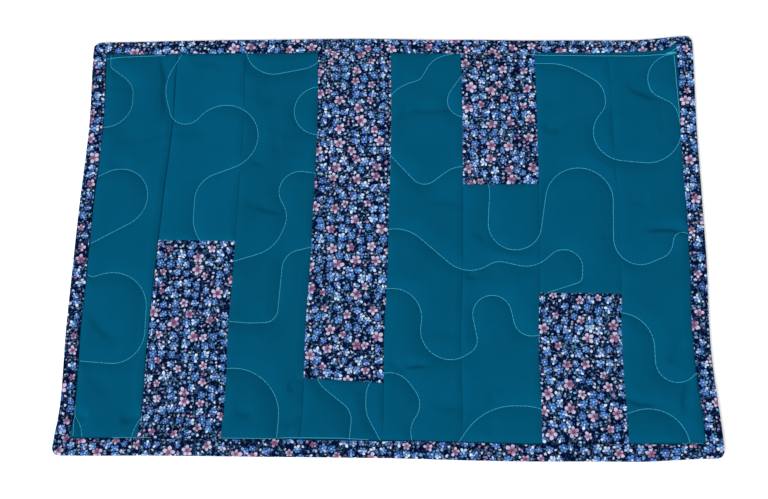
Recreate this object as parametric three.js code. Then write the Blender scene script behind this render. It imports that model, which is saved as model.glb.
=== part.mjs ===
// A quilted patchwork placemat, lying flat on its underside.
// Millimetres, +Z up. X runs along the long side, +Y is the far side, and the
// origin is the middle of the underside.
import * as THREE from 'three';

const { lerp, clamp } = THREE.MathUtils;

// Finished size of the mat, before its edges bow
const WIDTH = 419;
const DEPTH = 287;
const CORNER_RADIUS = 5;
const GAP = 0.3; // between neighbouring pieces

// Heights of the quilted face above the underside
const PUFF_HEIGHT = 4.2; // full loft between the quilting lines
const STITCHED_HEIGHT = 2.3; // pulled down at a quilting line
const SEAM_HEIGHT = 3.1; // at a seam between two patches
const EDGE_HEIGHT = 2.7; // beside the binding
const PUFF_REACH = 15; // from a quilting line out to full loft
const SEAM_REACH = 8; // from a seam out to full loft
const EDGE_REACH = 10; // from the binding out to full loft

// The quilt's edge is pressed into a thin tongue that lies inside the binding
const TONGUE_LOW = 1.3;
const TONGUE_HIGH = 2.3;
const TONGUE_INSET = 1.7; // from the mat's edge
const STEP_WIDTH = 0.15; // width of the step from tongue to full thickness

// Binding: print cloth folded round the edge
const BINDING_FACE = { left: 10, right: 11, near: 11, far: 11 }; // width on the face
const BINDING_HEIGHT = 3.6;
const BINDING_CLOTH = 1; // the folded cloth, all its layers together
const FOLD_RADIUS = 1.3;
const BINDING_CROWN = 0.2; // rise of the face between its fold and its stitched edge
const BINDING_STITCHED_DROP = 0.3; // fall of the face at its stitched edge

// Grid steps along the patches and along the binding
const PATCH_STEP = 6.3;
const BINDING_STEP = 9;
const SNAP = 0.33; // share of a grid step within which a point moves onto a quilting line
const QUILTING_STEP = 1.5;
const FOLD_STEP_DEGREES = 45;
const CORNER_STEPS = [0.4, 1]; // extra binding steps at a corner, in shares of its radius

const PLAIN = 'plain';
const PRINT = 'print';
const CLOTH = {
  [PLAIN]: { color: 0x015575, roughness: 0.85, metalness: 0 },
  [PRINT]: { color: 0x3f4a76, roughness: 0.88, metalness: 0 },
};

// Lines where the pieced field meets the binding
const FIELD = {
  left: -WIDTH / 2 + BINDING_FACE.left,
  right: WIDTH / 2 - BINDING_FACE.right,
  near: -DEPTH / 2 + BINDING_FACE.near,
  far: DEPTH / 2 - BINDING_FACE.far,
};

// Long seams from left to right: where each meets the far and near binding,
// and how far its middle bows to the right
const LONG_SEAMS = [
  { far: -148.8, near: -156, bow: 0 },
  { far: -100.7, near: -102.6, bow: 1.2 },
  { far: -49.2, near: -52.6, bow: 1.8 },
  { far: 1.5, near: -0.8, bow: 1.8 },
  { far: 50.3, near: 49.2, bow: 1.8 },
  { far: 101.2, near: 98.6, bow: 2 },
  { far: 151.4, near: 151.6, bow: 2.7 },
];

// Pieced columns from left to right. A column of two patches has a cross seam,
// which leans a little from its left end to its right end.
const COLUMNS = [
  { far: PLAIN },
  { far: PLAIN, near: PRINT, seam: { left: -3, right: -4 } },
  { far: PLAIN },
  { far: PRINT, near: PLAIN, seam: { left: -94.5, right: -97 } },
  { far: PLAIN },
  { far: PRINT, near: PLAIN, seam: { left: 36.5, right: 37.5 } },
  { far: PLAIN, near: PRINT, seam: { left: -37, right: -37.5 } },
  { far: PLAIN },
];

// Free quilting lines. Each runs from one end to the other like a belt, round
// bends given by their centre and radius, turning left or right.
const at = (x, y) => ({ x, y, radius: 0 });
const left = (x, y, radius) => ({ x, y, radius });
const right = (x, y, radius) => ({ x, y, radius: -radius });
const QUILTING = [
  // far left corner
  [at(-196.5, 134), left(-192.3, 126, 4), right(-196, 103, 16.5), right(-199, 98, 19.5), at(-203, 78.6)],
  // far meander, from the far edge across to the right edge
  [
    at(-145.5, 133.5), left(-129.5, 106.5, 27), left(-141.3, 92.2, 12), right(-113.3, 70, 23.6),
    left(-111.5, 25.5, 18.7), left(-103, 13, 27), left(-104, -1, 17), left(-92, 10, 24),
    left(-84.2, 12, 17.5), right(-58.7, 31, 14), left(-38, 60, 18), right(-8.5, 49.5, 12.5),
    left(25.5, 46.5, 10), right(51.3, 31, 18.2), left(86, 9.4, 17.6), right(129, 26.5, 22.3),
    left(167.5, -1, 17.2), left(177.5, -4, 11), right(195, -4, 6), at(199.5, 0.5),
  ],
  // far edge, through the long print block and back to the far edge
  [
    at(-100, 134), left(-80, 137, 20), left(-62, 138, 17.5), right(-40.5, 118.5, 11),
    left(-47.5, 89.2, 17.8), left(-38, 104, 33), right(24, 84.5, 27.3), left(18.5, 117.5, 5.5),
    right(44, 113, 19), at(46, 133),
  ],
  // far edge, round the short print block and up to the far right corner
  [
    at(62, 133), left(53.5, 97.5, 12.5), left(80, 95, 13), right(103, 116, 10),
    right(110, 86, 40), right(132, 100, 16.5), right(137, 97, 11.8), left(160.5, 74.5, 20.5),
    left(177, 74, 22), left(183.5, 84, 14), right(195, 113.5, 17), at(199, 131.2),
  ],
  // two loops on the left edge
  [at(-199, 42.5), right(-183.5, 27, 20.8), at(-199, -5)],
  [
    at(-199, -26.2), left(-195, -24.5, 3.3), right(-182, -50.3, 25.3), right(-177, -64.7, 20.6),
    at(-199, -83.7),
  ],
  // near left corner
  [at(-199, -118), right(-210, -134, 18.5), at(-190.7, -134)],
  // arch over the first print block
  [at(-160, -134), right(-142, -131, 17), at(-104, -132)],
  // near meander, from the near edge to the fourth print block and back
  [
    at(-67, -133), left(-97, -118.3, 30), right(-115, -73, 16), left(-87, -20.8, 38.2),
    left(-77.5, -50.3, 8.4), right(-55.5, -22.5, 12.5), right(7, -20, 24.8), left(56, -0.9, 21.5),
    right(76, -30.3, 14), left(92.5, 1.5, 20.7), right(117.5, -20, 12), right(124.3, -26, 4.8),
    left(108.5, -41.5, 5), right(96.5, -53.5, 11.7), left(71, -51.5, 12.6), right(51.5, -68, 9.9),
    right(43.5, -62.5, 18.7), left(6, -55, 19.4), left(-8, -74, 38), left(-25, -87, 19),
    right(-33.8, -121, 13.2), at(-21.2, -133),
  ],
  // loop on the near edge
  [
    at(-1.2, -133.5), right(8, -111, 19.5), right(4.3, -106, 15.6), right(8.5, -109.5, 14.3),
    left(31, -126.5, 13.8), at(18.3, -134),
  ],
  // arch into the fourth print block
  [at(45.5, -135), right(83, -147.5, 38), right(88, -142.5, 33), at(122, -133)],
  // right edge, through the fourth print block to the near edge
  [
    at(199, -90.5), right(187.5, -82.5, 13.5), left(151.5, -72.5, 22.7), left(142, -90, 26),
    right(165, -135.3, 24), at(189.2, -134),
  ],
];

// How far each edge bows out of a true rectangle, at places along it
const EDGE_BOW = {
  near: [
    { along: -209.5, out: 1.3 },
    { along: -120, out: 0.3 },
    { along: 0, out: -0.2 },
    { along: 75, out: 0.5 },
    { along: 150, out: -0.3 },
    { along: 209.5, out: -3 },
  ],
  far: [
    { along: -209.5, out: -0.3 },
    { along: -100, out: 1 },
    { along: -25, out: 1.3 },
    { along: 45, out: 0 },
    { along: 110, out: -1 },
    { along: 165, out: -1.3 },
    { along: 209.5, out: 1.5 },
  ],
  left: [
    { along: -143.5, out: 0.8 },
    { along: -110, out: -1.5 },
    { along: -55, out: 0 },
    { along: 10, out: 0 },
    { along: 75, out: -1 },
    { along: 143.5, out: 1.7 },
  ],
  right: [
    { along: -143.5, out: 1.5 },
    { along: -72, out: -2 },
    { along: -10, out: -0.2 },
    { along: 60, out: 0 },
    { along: 143.5, out: 1.7 },
  ],
};

// Points along one quilting line: straight runs that just touch the bends, and
// the arcs between them
function quiltingPath(stops) {
  const headings = [];
  for (let i = 0; i + 1 < stops.length; i++) {
    const [a, b] = [stops[i], stops[i + 1]];
    const distance = Math.hypot(b.x - a.x, b.y - a.y);
    const swing = Math.asin(clamp((a.radius - b.radius) / distance, -1, 1));
    headings.push(Math.atan2(b.y - a.y, b.x - a.x) + swing);
  }
  const touching = (stop, heading) => new THREE.Vector2(
    stop.x + stop.radius * Math.sin(heading),
    stop.y - stop.radius * Math.cos(heading),
  );
  const points = [new THREE.Vector2(stops[0].x, stops[0].y)];
  for (let i = 1; i < stops.length; i++) {
    const arrival = touching(stops[i], headings[i - 1]);
    const start = points[points.length - 1].clone();
    const runSteps = Math.max(1, Math.round(start.distanceTo(arrival) / QUILTING_STEP));
    for (let k = 1; k <= runSteps; k++) points.push(start.clone().lerp(arrival, k / runSteps));
    if (i === stops.length - 1) break;
    const side = Math.sign(stops[i].radius);
    const turn = THREE.MathUtils.euclideanModulo(side * (headings[i] - headings[i - 1]), 2 * Math.PI);
    const arcSteps = Math.max(2, Math.round((turn * Math.abs(stops[i].radius)) / QUILTING_STEP));
    for (let k = 1; k <= arcSteps; k++) {
      points.push(touching(stops[i], headings[i - 1] + (side * turn * k) / arcSteps));
    }
  }
  return points;
}

const QUILTING_POINTS = QUILTING.flatMap(quiltingPath);

function nearestQuilting(x, y) {
  let best = Infinity;
  let point = null;
  for (const candidate of QUILTING_POINTS) {
    const distance = (candidate.x - x) ** 2 + (candidate.y - y) ** 2;
    if (distance < best) {
      best = distance;
      point = candidate;
    }
  }
  return { distance: Math.sqrt(best), point };
}

// Soft rise from 0 to 1 over a reach, steep at first like a filled channel
const loft = (distance, reach) => 1 - (1 - clamp(distance / reach, 0, 1)) ** 2;

// Height of the quilted face, given the distance to the patch's nearest seam
function faceHeight(x, y, seamDistance) {
  const edgeDistance = Math.min(x - FIELD.left, FIELD.right - x, y - FIELD.near, FIELD.far - y);
  const puff = lerp(STITCHED_HEIGHT, PUFF_HEIGHT, loft(nearestQuilting(x, y).distance, PUFF_REACH));
  const seam = lerp(SEAM_HEIGHT, PUFF_HEIGHT, loft(seamDistance, SEAM_REACH));
  const edge = lerp(EDGE_HEIGHT, PUFF_HEIGHT, loft(edgeDistance, EDGE_REACH));
  return Math.min(puff, seam, edge);
}

// How far an edge bows out at one place along it, eased between the rows of its table
function bow(rows, along) {
  const passed = rows.filter((row) => row.along <= along).length;
  const next = clamp(passed, 1, rows.length - 1);
  const [a, b] = [rows[next - 1], rows[next]];
  const share = clamp((along - a.along) / (b.along - a.along), 0, 1);
  return lerp(a.out, b.out, (1 - Math.cos(Math.PI * share)) / 2);
}

function roundCorner(x, y) {
  const pastX = Math.abs(x) - (WIDTH / 2 - CORNER_RADIUS);
  const pastY = Math.abs(y) - (DEPTH / 2 - CORNER_RADIUS);
  if (pastX <= 0 || pastY <= 0) return [x, y];
  const pull = 1 - Math.max(pastX, pastY) / Math.hypot(pastX, pastY);
  return [x - Math.sign(x) * pastX * pull, y - Math.sign(y) * pastY * pull];
}

// Where a point of the true rectangle lies on the real, uneven mat
function lie(x, y) {
  const [rx, ry] = roundCorner(x, y);
  const across = (rx + WIDTH / 2) / WIDTH;
  const up = (ry + DEPTH / 2) / DEPTH;
  return [
    rx + lerp(-bow(EDGE_BOW.left, ry), bow(EDGE_BOW.right, ry), across),
    ry + lerp(-bow(EDGE_BOW.near, rx), bow(EDGE_BOW.far, rx), up),
  ];
}

// A closed solid from corner points, which are laid on the uneven mat, and triangles
function solid(name, cloth, corners, triangles) {
  const geometry = new THREE.BufferGeometry();
  const positions = corners.flatMap(([x, y, z]) => [...lie(x, y), z]);
  geometry.setAttribute('position', new THREE.Float32BufferAttribute(positions, 3));
  geometry.setIndex(triangles.flat());
  geometry.computeVertexNormals();
  const mesh = new THREE.Mesh(geometry, new THREE.MeshStandardMaterial(CLOTH[cloth]));
  mesh.name = name;
  return mesh;
}

// Even shares from 0 to 1 along a length
function evenly(length, step) {
  const count = Math.max(1, Math.round(length / step));
  return Array.from({ length: count + 1 }, (_, i) => i / count);
}

// Grid lines across a patch: shares of its full thickness part, and beyond a
// side at the binding the step and the tongue, which reaches out by so much
function gridLines(size, lowReach, highReach) {
  const lines = evenly(size, PATCH_STEP).map((share) => ({ share, offset: 0, thin: false }));
  if (lowReach) {
    lines.unshift({ share: 0, offset: -STEP_WIDTH, thin: true });
    lines.unshift({ share: 0, offset: -lowReach, thin: true });
  }
  if (highReach) {
    lines.push({ share: 1, offset: STEP_WIDTH, thin: true });
    lines.push({ share: 1, offset: highReach, thin: true });
  }
  return lines;
}

const tongueReach = (side) => BINDING_FACE[side] + GAP - TONGUE_INSET;

// The lines that bound one patch, and how far its tongue reaches on each side
function patchBounds(index, part) {
  const { seam } = COLUMNS[index];
  const longSeam = (row, y) => {
    const share = (y - FIELD.near) / (FIELD.far - FIELD.near);
    return lerp(row.near, row.far, share) + 4 * row.bow * share * (1 - share);
  };
  const first = index === 0;
  const last = index === COLUMNS.length - 1;
  const nearSeam = seam && part === 'far';
  const farSeam = seam && part === 'near';
  return {
    left: (y) => (first ? FIELD.left + GAP : longSeam(LONG_SEAMS[index - 1], y) + GAP / 2),
    right: (y) => (last ? FIELD.right - GAP : longSeam(LONG_SEAMS[index], y) - GAP / 2),
    near: (share) => (nearSeam ? lerp(seam.left, seam.right, share) + GAP / 2 : FIELD.near + GAP),
    far: (share) => (farSeam ? lerp(seam.left, seam.right, share) - GAP / 2 : FIELD.far - GAP),
    reach: {
      left: first ? tongueReach('left') : 0,
      right: last ? tongueReach('right') : 0,
      near: nearSeam ? 0 : tongueReach('near'),
      far: farSeam ? 0 : tongueReach('far'),
    },
  };
}

// Triangles of a strip between two rows of corners, facing down
function stripFacingDown(rowA, rowB) {
  const triangles = [];
  let [a, b] = [0, 0];
  while (a + 1 < rowA.length || b + 1 < rowB.length) {
    const endOfB = b + 1 === rowB.length;
    if (endOfB || (a + 1 < rowA.length && rowA[a + 1].column <= rowB[b + 1].column)) {
      triangles.push([rowA[a].corner, rowB[b].corner, rowA[a + 1].corner]);
      a += 1;
    } else {
      triangles.push([rowA[a].corner, rowB[b].corner, rowB[b + 1].corner]);
      b += 1;
    }
  }
  return triangles;
}

// One patch of the pieced face, through the whole thickness of the quilt
function patch(index, part) {
  const bounds = patchBounds(index, part);
  const { reach } = bounds;
  const columns = gridLines(bounds.right(0) - bounds.left(0), reach.left, reach.right);
  const rows = gridLines(bounds.far(0) - bounds.near(0), reach.near, reach.far);
  const corners = [];
  const triangles = [];

  const spot = (row, column) => {
    const y = lerp(bounds.near(column.share), bounds.far(column.share), row.share) + row.offset;
    const x = lerp(bounds.left(y), bounds.right(y), column.share) + column.offset;
    const inside = [row, column].every((line) => line.share > 0 && line.share < 1);
    const { distance, point } = nearestQuilting(x, y);
    return inside && distance < SNAP * PATCH_STEP ? [point.x, point.y] : [x, y];
  };
  const seamDistance = (x, y, share) => Math.min(
    reach.left ? Infinity : x - bounds.left(y),
    reach.right ? Infinity : bounds.right(y) - x,
    reach.near ? Infinity : y - bounds.near(share),
    reach.far ? Infinity : bounds.far(share) - y,
  );

  const high = rows.map((row) => columns.map((column) => {
    const [x, y] = spot(row, column);
    const thin = row.thin || column.thin;
    corners.push([x, y, thin ? TONGUE_HIGH : faceHeight(x, y, seamDistance(x, y, column.share))]);
    return corners.length - 1;
  }));

  // The underside is flat, so inside it keeps only the grid lines beside a step
  const lastRow = rows.length - 1;
  const lastColumn = columns.length - 1;
  const besideStep = (lines, place) => [place - 1, place, place + 1].some((k) => lines[k]?.thin);
  const low = rows.map((row, j) => columns.flatMap((column, i) => {
    const onRim = j === 0 || j === lastRow || i === 0 || i === lastColumn;
    if (!onRim && !besideStep(rows, j) && !besideStep(columns, i)) return [];
    const [x, y] = corners[high[j][i]];
    corners.push([x, y, row.thin || column.thin ? TONGUE_LOW : 0]);
    return [{ column: i, corner: corners.length - 1 }];
  }));

  // Face, each cell split along its lower diagonal so that the troughs run on
  const height = (corner) => corners[corner][2];
  for (let j = 0; j < lastRow; j++) {
    for (let i = 0; i < lastColumn; i++) {
      const [a, b, c, d] = [high[j][i], high[j][i + 1], high[j + 1][i + 1], high[j + 1][i]];
      if (height(a) + height(c) < height(b) + height(d)) triangles.push([a, b, c], [a, c, d]);
      else triangles.push([a, b, d], [b, c, d]);
    }
    triangles.push(...stripFacingDown(low[j], low[j + 1]));
  }

  // Sides, going round the rim with the patch on the left
  const lowAt = (j, i) => low[j].find((entry) => entry.column === i).corner;
  const rim = [];
  for (let i = 0; i < lastColumn; i++) rim.push([0, i]);
  for (let j = 0; j < lastRow; j++) rim.push([j, lastColumn]);
  for (let i = lastColumn; i > 0; i--) rim.push([lastRow, i]);
  for (let j = lastRow; j > 0; j--) rim.push([j, 0]);
  rim.forEach(([j, i], k) => {
    const [nextJ, nextI] = rim[(k + 1) % rim.length];
    const [a, b] = [lowAt(j, i), lowAt(nextJ, nextI)];
    const [c, d] = [high[nextJ][nextI], high[j][i]];
    triangles.push([a, b, c], [a, c, d]);
  });

  const cloth = COLUMNS[index][part];
  return solid(`${cloth}_${index + 1}`, cloth, corners, triangles);
}

// Section of the folded binding: pairs of points on the outside and the
// inside of the cloth, [in from the mat's edge, height], from the stitched edge
// on the face round the fold to the edge on the underside
function bindingSection(face) {
  const middle = BINDING_HEIGHT / 2;
  const under = BINDING_HEIGHT - BINDING_CLOTH;
  const crownAt = face / 2;
  const fold = evenly(180, FOLD_STEP_DEGREES).map((share) => {
    const angle = Math.PI * share;
    const inside = FOLD_RADIUS - BINDING_CLOTH;
    return {
      outside: [FOLD_RADIUS * (1 - Math.sin(angle)), middle * (1 + Math.cos(angle))],
      inside: [FOLD_RADIUS - inside * Math.sin(angle), middle + (middle - BINDING_CLOTH) * Math.cos(angle)],
    };
  });
  return [
    { outside: [face, BINDING_HEIGHT - BINDING_STITCHED_DROP], inside: [face, under] },
    { outside: [crownAt, BINDING_HEIGHT + BINDING_CROWN], inside: [crownAt, under] },
    ...fold,
    { outside: [face, 0], inside: [face, BINDING_CLOTH] },
  ];
}

// The four sides in order round the mat, each with the sides it meets and the
// place of a point so far along it and so far in from the edge
const SIDES = [
  { side: 'near', before: 'left', after: 'right', length: WIDTH, point: (s, d) => [s, d - DEPTH / 2] },
  { side: 'right', before: 'near', after: 'far', length: DEPTH, point: (s, d) => [WIDTH / 2 - d, s] },
  { side: 'far', before: 'right', after: 'left', length: WIDTH, point: (s, d) => [-s, DEPTH / 2 - d] },
  { side: 'left', before: 'far', after: 'near', length: DEPTH, point: (s, d) => [d - WIDTH / 2, -s] },
];

// One side of the binding, with mitred ends
function binding({ side, before, after, length, point }) {
  const face = BINDING_FACE[side];
  const section = bindingSection(face);
  const ring = [...section.map((pair) => pair.outside), ...section.map((pair) => pair.inside).reverse()];
  const mitreGap = GAP / Math.SQRT2;
  const cornerSteps = CORNER_STEPS.map((share) => (share * CORNER_RADIUS) / length);
  const middleSteps = evenly(length, BINDING_STEP).slice(1, -1);
  const stations = [0, ...cornerSteps, ...middleSteps, ...cornerSteps.map((s) => 1 - s).reverse(), 1];
  const corners = stations.flatMap((station) => ring.map(([depth, z]) => {
    const start = -length / 2 + (depth / face) * BINDING_FACE[before] + mitreGap;
    const end = length / 2 - (depth / face) * BINDING_FACE[after] - mitreGap;
    return [...point(lerp(start, end, station), depth), z];
  }));

  const triangles = [];
  const count = ring.length;
  const corner = (station, i) => station * count + (i % count);
  const lastStation = stations.length - 1;
  for (let k = 0; k < lastStation; k++) {
    for (let i = 0; i < count; i++) {
      const [a, b] = [corner(k, i), corner(k, i + 1)];
      const [c, d] = [corner(k + 1, i + 1), corner(k + 1, i)];
      triangles.push([a, b, c], [a, c, d]);
    }
  }
  for (let i = 0; i + 1 < section.length; i++) {
    const quad = [i, i + 1, count - 2 - i, count - 1 - i];
    const [a, b, c, d] = quad.map((k) => corner(lastStation, k));
    const [e, f, g, h] = quad.map((k) => corner(0, k));
    triangles.push([a, b, c], [a, c, d], [e, g, f], [e, h, g]);
  }
  return solid(`binding_${side}`, PRINT, corners, triangles);
}

const placemat = new THREE.Group();
COLUMNS.forEach((column, index) => {
  placemat.add(patch(index, 'far'));
  if (column.near) placemat.add(patch(index, 'near'));
});
SIDES.forEach((side) => placemat.add(binding(side)));

// The bowed edges shift the outline a little, so the mat is centred again
const outline = new THREE.Box3().setFromObject(placemat).getCenter(new THREE.Vector3());
placemat.position.set(-outline.x, -outline.y, 0);

export default placemat;
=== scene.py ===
"""Cloth, binding and stitches of a quilted placemat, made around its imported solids."""

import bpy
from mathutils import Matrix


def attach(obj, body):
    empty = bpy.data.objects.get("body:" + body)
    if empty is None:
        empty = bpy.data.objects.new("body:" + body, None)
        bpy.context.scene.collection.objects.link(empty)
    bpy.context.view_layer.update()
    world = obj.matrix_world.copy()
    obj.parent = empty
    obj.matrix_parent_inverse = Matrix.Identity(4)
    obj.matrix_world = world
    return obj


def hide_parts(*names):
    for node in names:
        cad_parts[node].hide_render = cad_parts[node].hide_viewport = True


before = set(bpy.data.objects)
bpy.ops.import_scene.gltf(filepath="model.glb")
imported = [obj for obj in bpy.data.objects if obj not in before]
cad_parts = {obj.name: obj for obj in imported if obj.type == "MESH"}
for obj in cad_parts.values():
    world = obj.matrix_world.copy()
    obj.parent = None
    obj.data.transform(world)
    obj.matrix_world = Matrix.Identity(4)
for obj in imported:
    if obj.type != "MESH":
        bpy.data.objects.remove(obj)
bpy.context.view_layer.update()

import math
from collections import namedtuple

import bpy
import numpy as np
from bpy.props import FloatProperty, FloatVectorProperty, PointerProperty
from bpy.types import Operator, Panel, PropertyGroup
from mathutils.kdtree import KDTree

bl_info = {
    "name": "Quilted Placemat",
    "version": (1, 0, 0),
    "blender": (4, 5, 0),
    "location": "3D View > Sidebar > Placemat",
    "description": "Makes the patches, binding and stitches of a quilted placemat",
    "category": "Add Mesh",
}

BODY = "root"
MM = 0.001
FLOOR_WIDTH = 8.0
FLOOR_DROP = 0.2 * MM  # of the floor below the mat
NEAREST_SEEN = 0.01  # distance from the camera, in metres
SHARP_ANGLE = math.radians(55)  # between faces, beyond which an edge isn't smoothed

# The mat's true rectangle, before its edges bow. X runs along the long side and +Y is the far side.
WIDTH = 419 * MM
DEPTH = 287 * MM
CORNER_RADIUS = 5 * MM
BINDING_FACE = {"left": 10 * MM, "right": 11 * MM, "near": 11 * MM, "far": 11 * MM}
FIELD = {
    "left": -WIDTH / 2 + BINDING_FACE["left"],
    "right": WIDTH / 2 - BINDING_FACE["right"],
    "near": -DEPTH / 2 + BINDING_FACE["near"],
    "far": DEPTH / 2 - BINDING_FACE["far"],
}

# Clearances between neighbouring pieces
SEAM_CLEARANCE = 0.02 * MM
BINDING_CLEARANCE = 0.3 * MM
MITRE_CLEARANCE = 0.1 * MM

# The quilt's edge is pressed into a thin tongue that lies inside the binding
TONGUE_LOW = 1.3 * MM
TONGUE_HIGH = 2.3 * MM
TONGUE_INSET = 1.7 * MM
STEP_WIDTH = 0.15 * MM

# Extra grid lines where a patch rolls into a seam, by their distance from it
ROLL_STEPS = (0.12 * MM, 0.3 * MM, 0.55 * MM, 0.85 * MM)

# Long seams from left to right, in millimetres: where each meets the far and near
# binding, how far its middle bows to the right, and how deep its ditch is
Seam = namedtuple("Seam", "far near bow ditch")
LONG_SEAMS = [
    Seam(-148.8, -156, 0, 0.34),
    Seam(-100.7, -102.6, 1.2, 0.1),
    Seam(-49.2, -52.6, 1.8, 0.15),
    Seam(1.5, -0.8, 1.8, 0.08),
    Seam(50.3, 49.2, 1.8, 0.12),
    Seam(101.2, 98.6, 2, 0.12),
    Seam(151.4, 151.6, 2.7, 0.03),
]

# Pieced columns from left to right. A column of two patches has a cross seam, in
# millimetres, which leans a little from its left end to its right end. The tone tells
# how light its plain cloth came out, from 0 to 1: painted light and shade, for how the
# grain of each patch catches the light.
Column = namedtuple("Column", "tone far near cross_left cross_right", defaults=(None, 0, 0))
COLUMNS = [
    Column(0.5, "plain"),
    Column(0.9, "plain", "print", -3, -4),
    Column(0.2, "plain"),
    Column(0.2, "print", "plain", -94.5, -97),
    Column(0.4, "plain"),
    Column(0.6, "print", "plain", 36.5, 37.5),
    Column(0.45, "plain", "print", -37, -37.5),
    Column(0.4, "plain"),
]

# Free quilting lines. Each runs from one end to the other like a belt, round
# bends given in millimetres by their centre and radius, turning left or right.
Stop = namedtuple("Stop", "x y radius")


def at(x, y):
    return Stop(x * MM, y * MM, 0)


def left(x, y, radius):
    return Stop(x * MM, y * MM, radius * MM)


def right(x, y, radius):
    return Stop(x * MM, y * MM, -radius * MM)


QUILTING = [
    # far left corner
    [
        at(-196.5, 134), left(-192.3, 126, 4), right(-196, 103, 16.5), right(-199, 98, 19.5),
        at(-203, 78.6),
    ],
    # far meander, from the far edge across to the right edge
    [
        at(-145.5, 133.5), left(-129.5, 106.5, 27), left(-141.3, 92.2, 12), right(-113.3, 70, 23.6),
        left(-111.5, 25.5, 18.7), left(-103, 13, 27), left(-104, -1, 17), left(-92, 10, 24),
        left(-84.2, 12, 17.5), right(-58.7, 31, 14), left(-38, 60, 18), right(-8.5, 49.5, 12.5),
        left(25.5, 46.5, 10), right(51.3, 31, 18.2), left(86, 9.4, 17.6), right(129, 26.5, 22.3),
        left(167.5, -1, 17.2), left(177.5, -4, 11), right(195, -4, 6), at(199.5, 0.5),
    ],
    # far edge, through the long print block and back to the far edge
    [
        at(-100, 134), left(-80, 137, 20), left(-62, 138, 17.5), right(-40.5, 118.5, 11),
        left(-47.5, 89.2, 17.8), left(-38, 104, 33), right(24, 84.5, 27.3), left(18.5, 117.5, 5.5),
        right(44, 113, 19), at(46, 133),
    ],
    # far edge, round the short print block and up to the far right corner
    [
        at(62, 133), left(53.5, 97.5, 12.5), left(80, 95, 13), right(103, 116, 10),
        right(110, 86, 40), right(132, 100, 16.5), right(137, 97, 11.8), left(160.5, 74.5, 20.5),
        left(177, 74, 22), left(183.5, 84, 14), right(195, 113.5, 17), at(199, 131.2),
    ],
    # two loops on the left edge
    [at(-199, 42.5), right(-183.5, 27, 20.8), at(-199, -5)],
    [
        at(-199, -26.2), left(-195, -24.5, 3.3), right(-182, -50.3, 25.3), right(-177, -64.7, 20.6),
        at(-199, -83.7),
    ],
    # near left corner
    [at(-199, -118), right(-210, -134, 18.5), at(-190.7, -134)],
    # arch over the first print block
    [at(-160, -134), right(-142, -131, 17), at(-104, -132)],
    # near meander, from the near edge to the fourth print block and back
    [
        at(-67, -133), left(-97, -118.3, 30), right(-115, -73, 16), left(-87, -20.8, 38.2),
        left(-77.5, -50.3, 8.4), right(-55.5, -22.5, 12.5), right(7, -20, 24.8), left(56, -0.9, 21.5),
        right(76, -30.3, 14), left(92.5, 1.5, 20.7), right(117.5, -20, 12), right(124.3, -26, 4.8),
        left(108.5, -41.5, 5), right(96.5, -53.5, 11.7), left(71, -51.5, 12.6), right(51.5, -68, 9.9),
        right(43.5, -62.5, 18.7), left(6, -55, 19.4), left(-8, -74, 38), left(-25, -87, 19),
        right(-33.8, -121, 13.2), at(-21.2, -133),
    ],
    # loop on the near edge
    [
        at(-1.2, -133.5), right(8, -111, 19.5), right(4.3, -106, 15.6), right(8.5, -109.5, 14.3),
        left(31, -126.5, 13.8), at(18.3, -134),
    ],
    # arch into the fourth print block
    [at(45.5, -135), right(83, -147.5, 38), right(88, -142.5, 33), at(122, -133)],
    # right edge, through the fourth print block to the near edge
    [
        at(199, -90.5), right(187.5, -82.5, 13.5), left(151.5, -72.5, 22.7), left(142, -90, 26),
        right(165, -135.3, 24), at(189.2, -134),
    ],
]
QUILTING_STEP = 0.6 * MM
UNDER_BINDING = 1.5 * MM  # how far the lines run on under the binding

# How far each edge bows out of the true rectangle, in millimetres, at places along it
Bow = namedtuple("Bow", "along out")
EDGE_BOW = {
    "near": [
        Bow(-209.5, 1.3), Bow(-120, 0.3), Bow(0, -0.2), Bow(75, 0.5), Bow(150, -0.3), Bow(209.5, -3),
    ],
    "far": [
        Bow(-209.5, -0.3), Bow(-100, 1), Bow(-25, 1.3), Bow(45, 0),
        Bow(110, -1), Bow(165, -1.3), Bow(209.5, 1.5),
    ],
    "left": [
        Bow(-143.5, 0.8), Bow(-110, -1.5), Bow(-55, 0), Bow(10, 0), Bow(75, -1), Bow(143.5, 1.7),
    ],
    "right": [
        Bow(-143.5, 1.5), Bow(-72, -2), Bow(-10, -0.2), Bow(60, 0), Bow(143.5, 1.7),
    ],
}

# Where the binding's top stitch shows, in millimetres: runs along each side, and how far they stray
# from the binding's inner edge onto the patches. Elsewhere the thread is lost in the print.
Stray = namedtuple("Stray", "along onto_patches")
TOP_STITCH = {
    "near": [
        [Stray(-172, 0.3), Stray(-146, 0.2)],
        [Stray(-104, 0.3), Stray(-72, 0.3), Stray(-58, 0.9), Stray(-30, 0.9), Stray(-8, 0.2)],
        [Stray(150, -0.2), Stray(165, -0.2)],
        [Stray(184, -0.9), Stray(198, -1.4)],
    ],
    "far": [
        [Stray(-199.5, 2.2), Stray(-195, 1.6), Stray(-187, 1), Stray(-172, 0.6), Stray(-157, 0.2)],
        [Stray(95, 0.1), Stray(110, 0.7), Stray(150, 1.2), Stray(185, 1.7), Stray(197, 1.6)],
    ],
    "left": [[Stray(-131, 2.5), Stray(-120, 1), Stray(-111, 0.3)]],
    "right": [[Stray(82, 0), Stray(90, 0.3), Stray(98, 0.8), Stray(112, 1.6), Stray(131, 2.2)]],
}

# A few stitches back and forth that fasten the thread at the far right corner, in millimetres
BACK_TACK = [(190.5, 130.9), (199, 131.9), (191.5, 131.7), (197.5, 131.4), (193, 131.1), (200, 136)]

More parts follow.
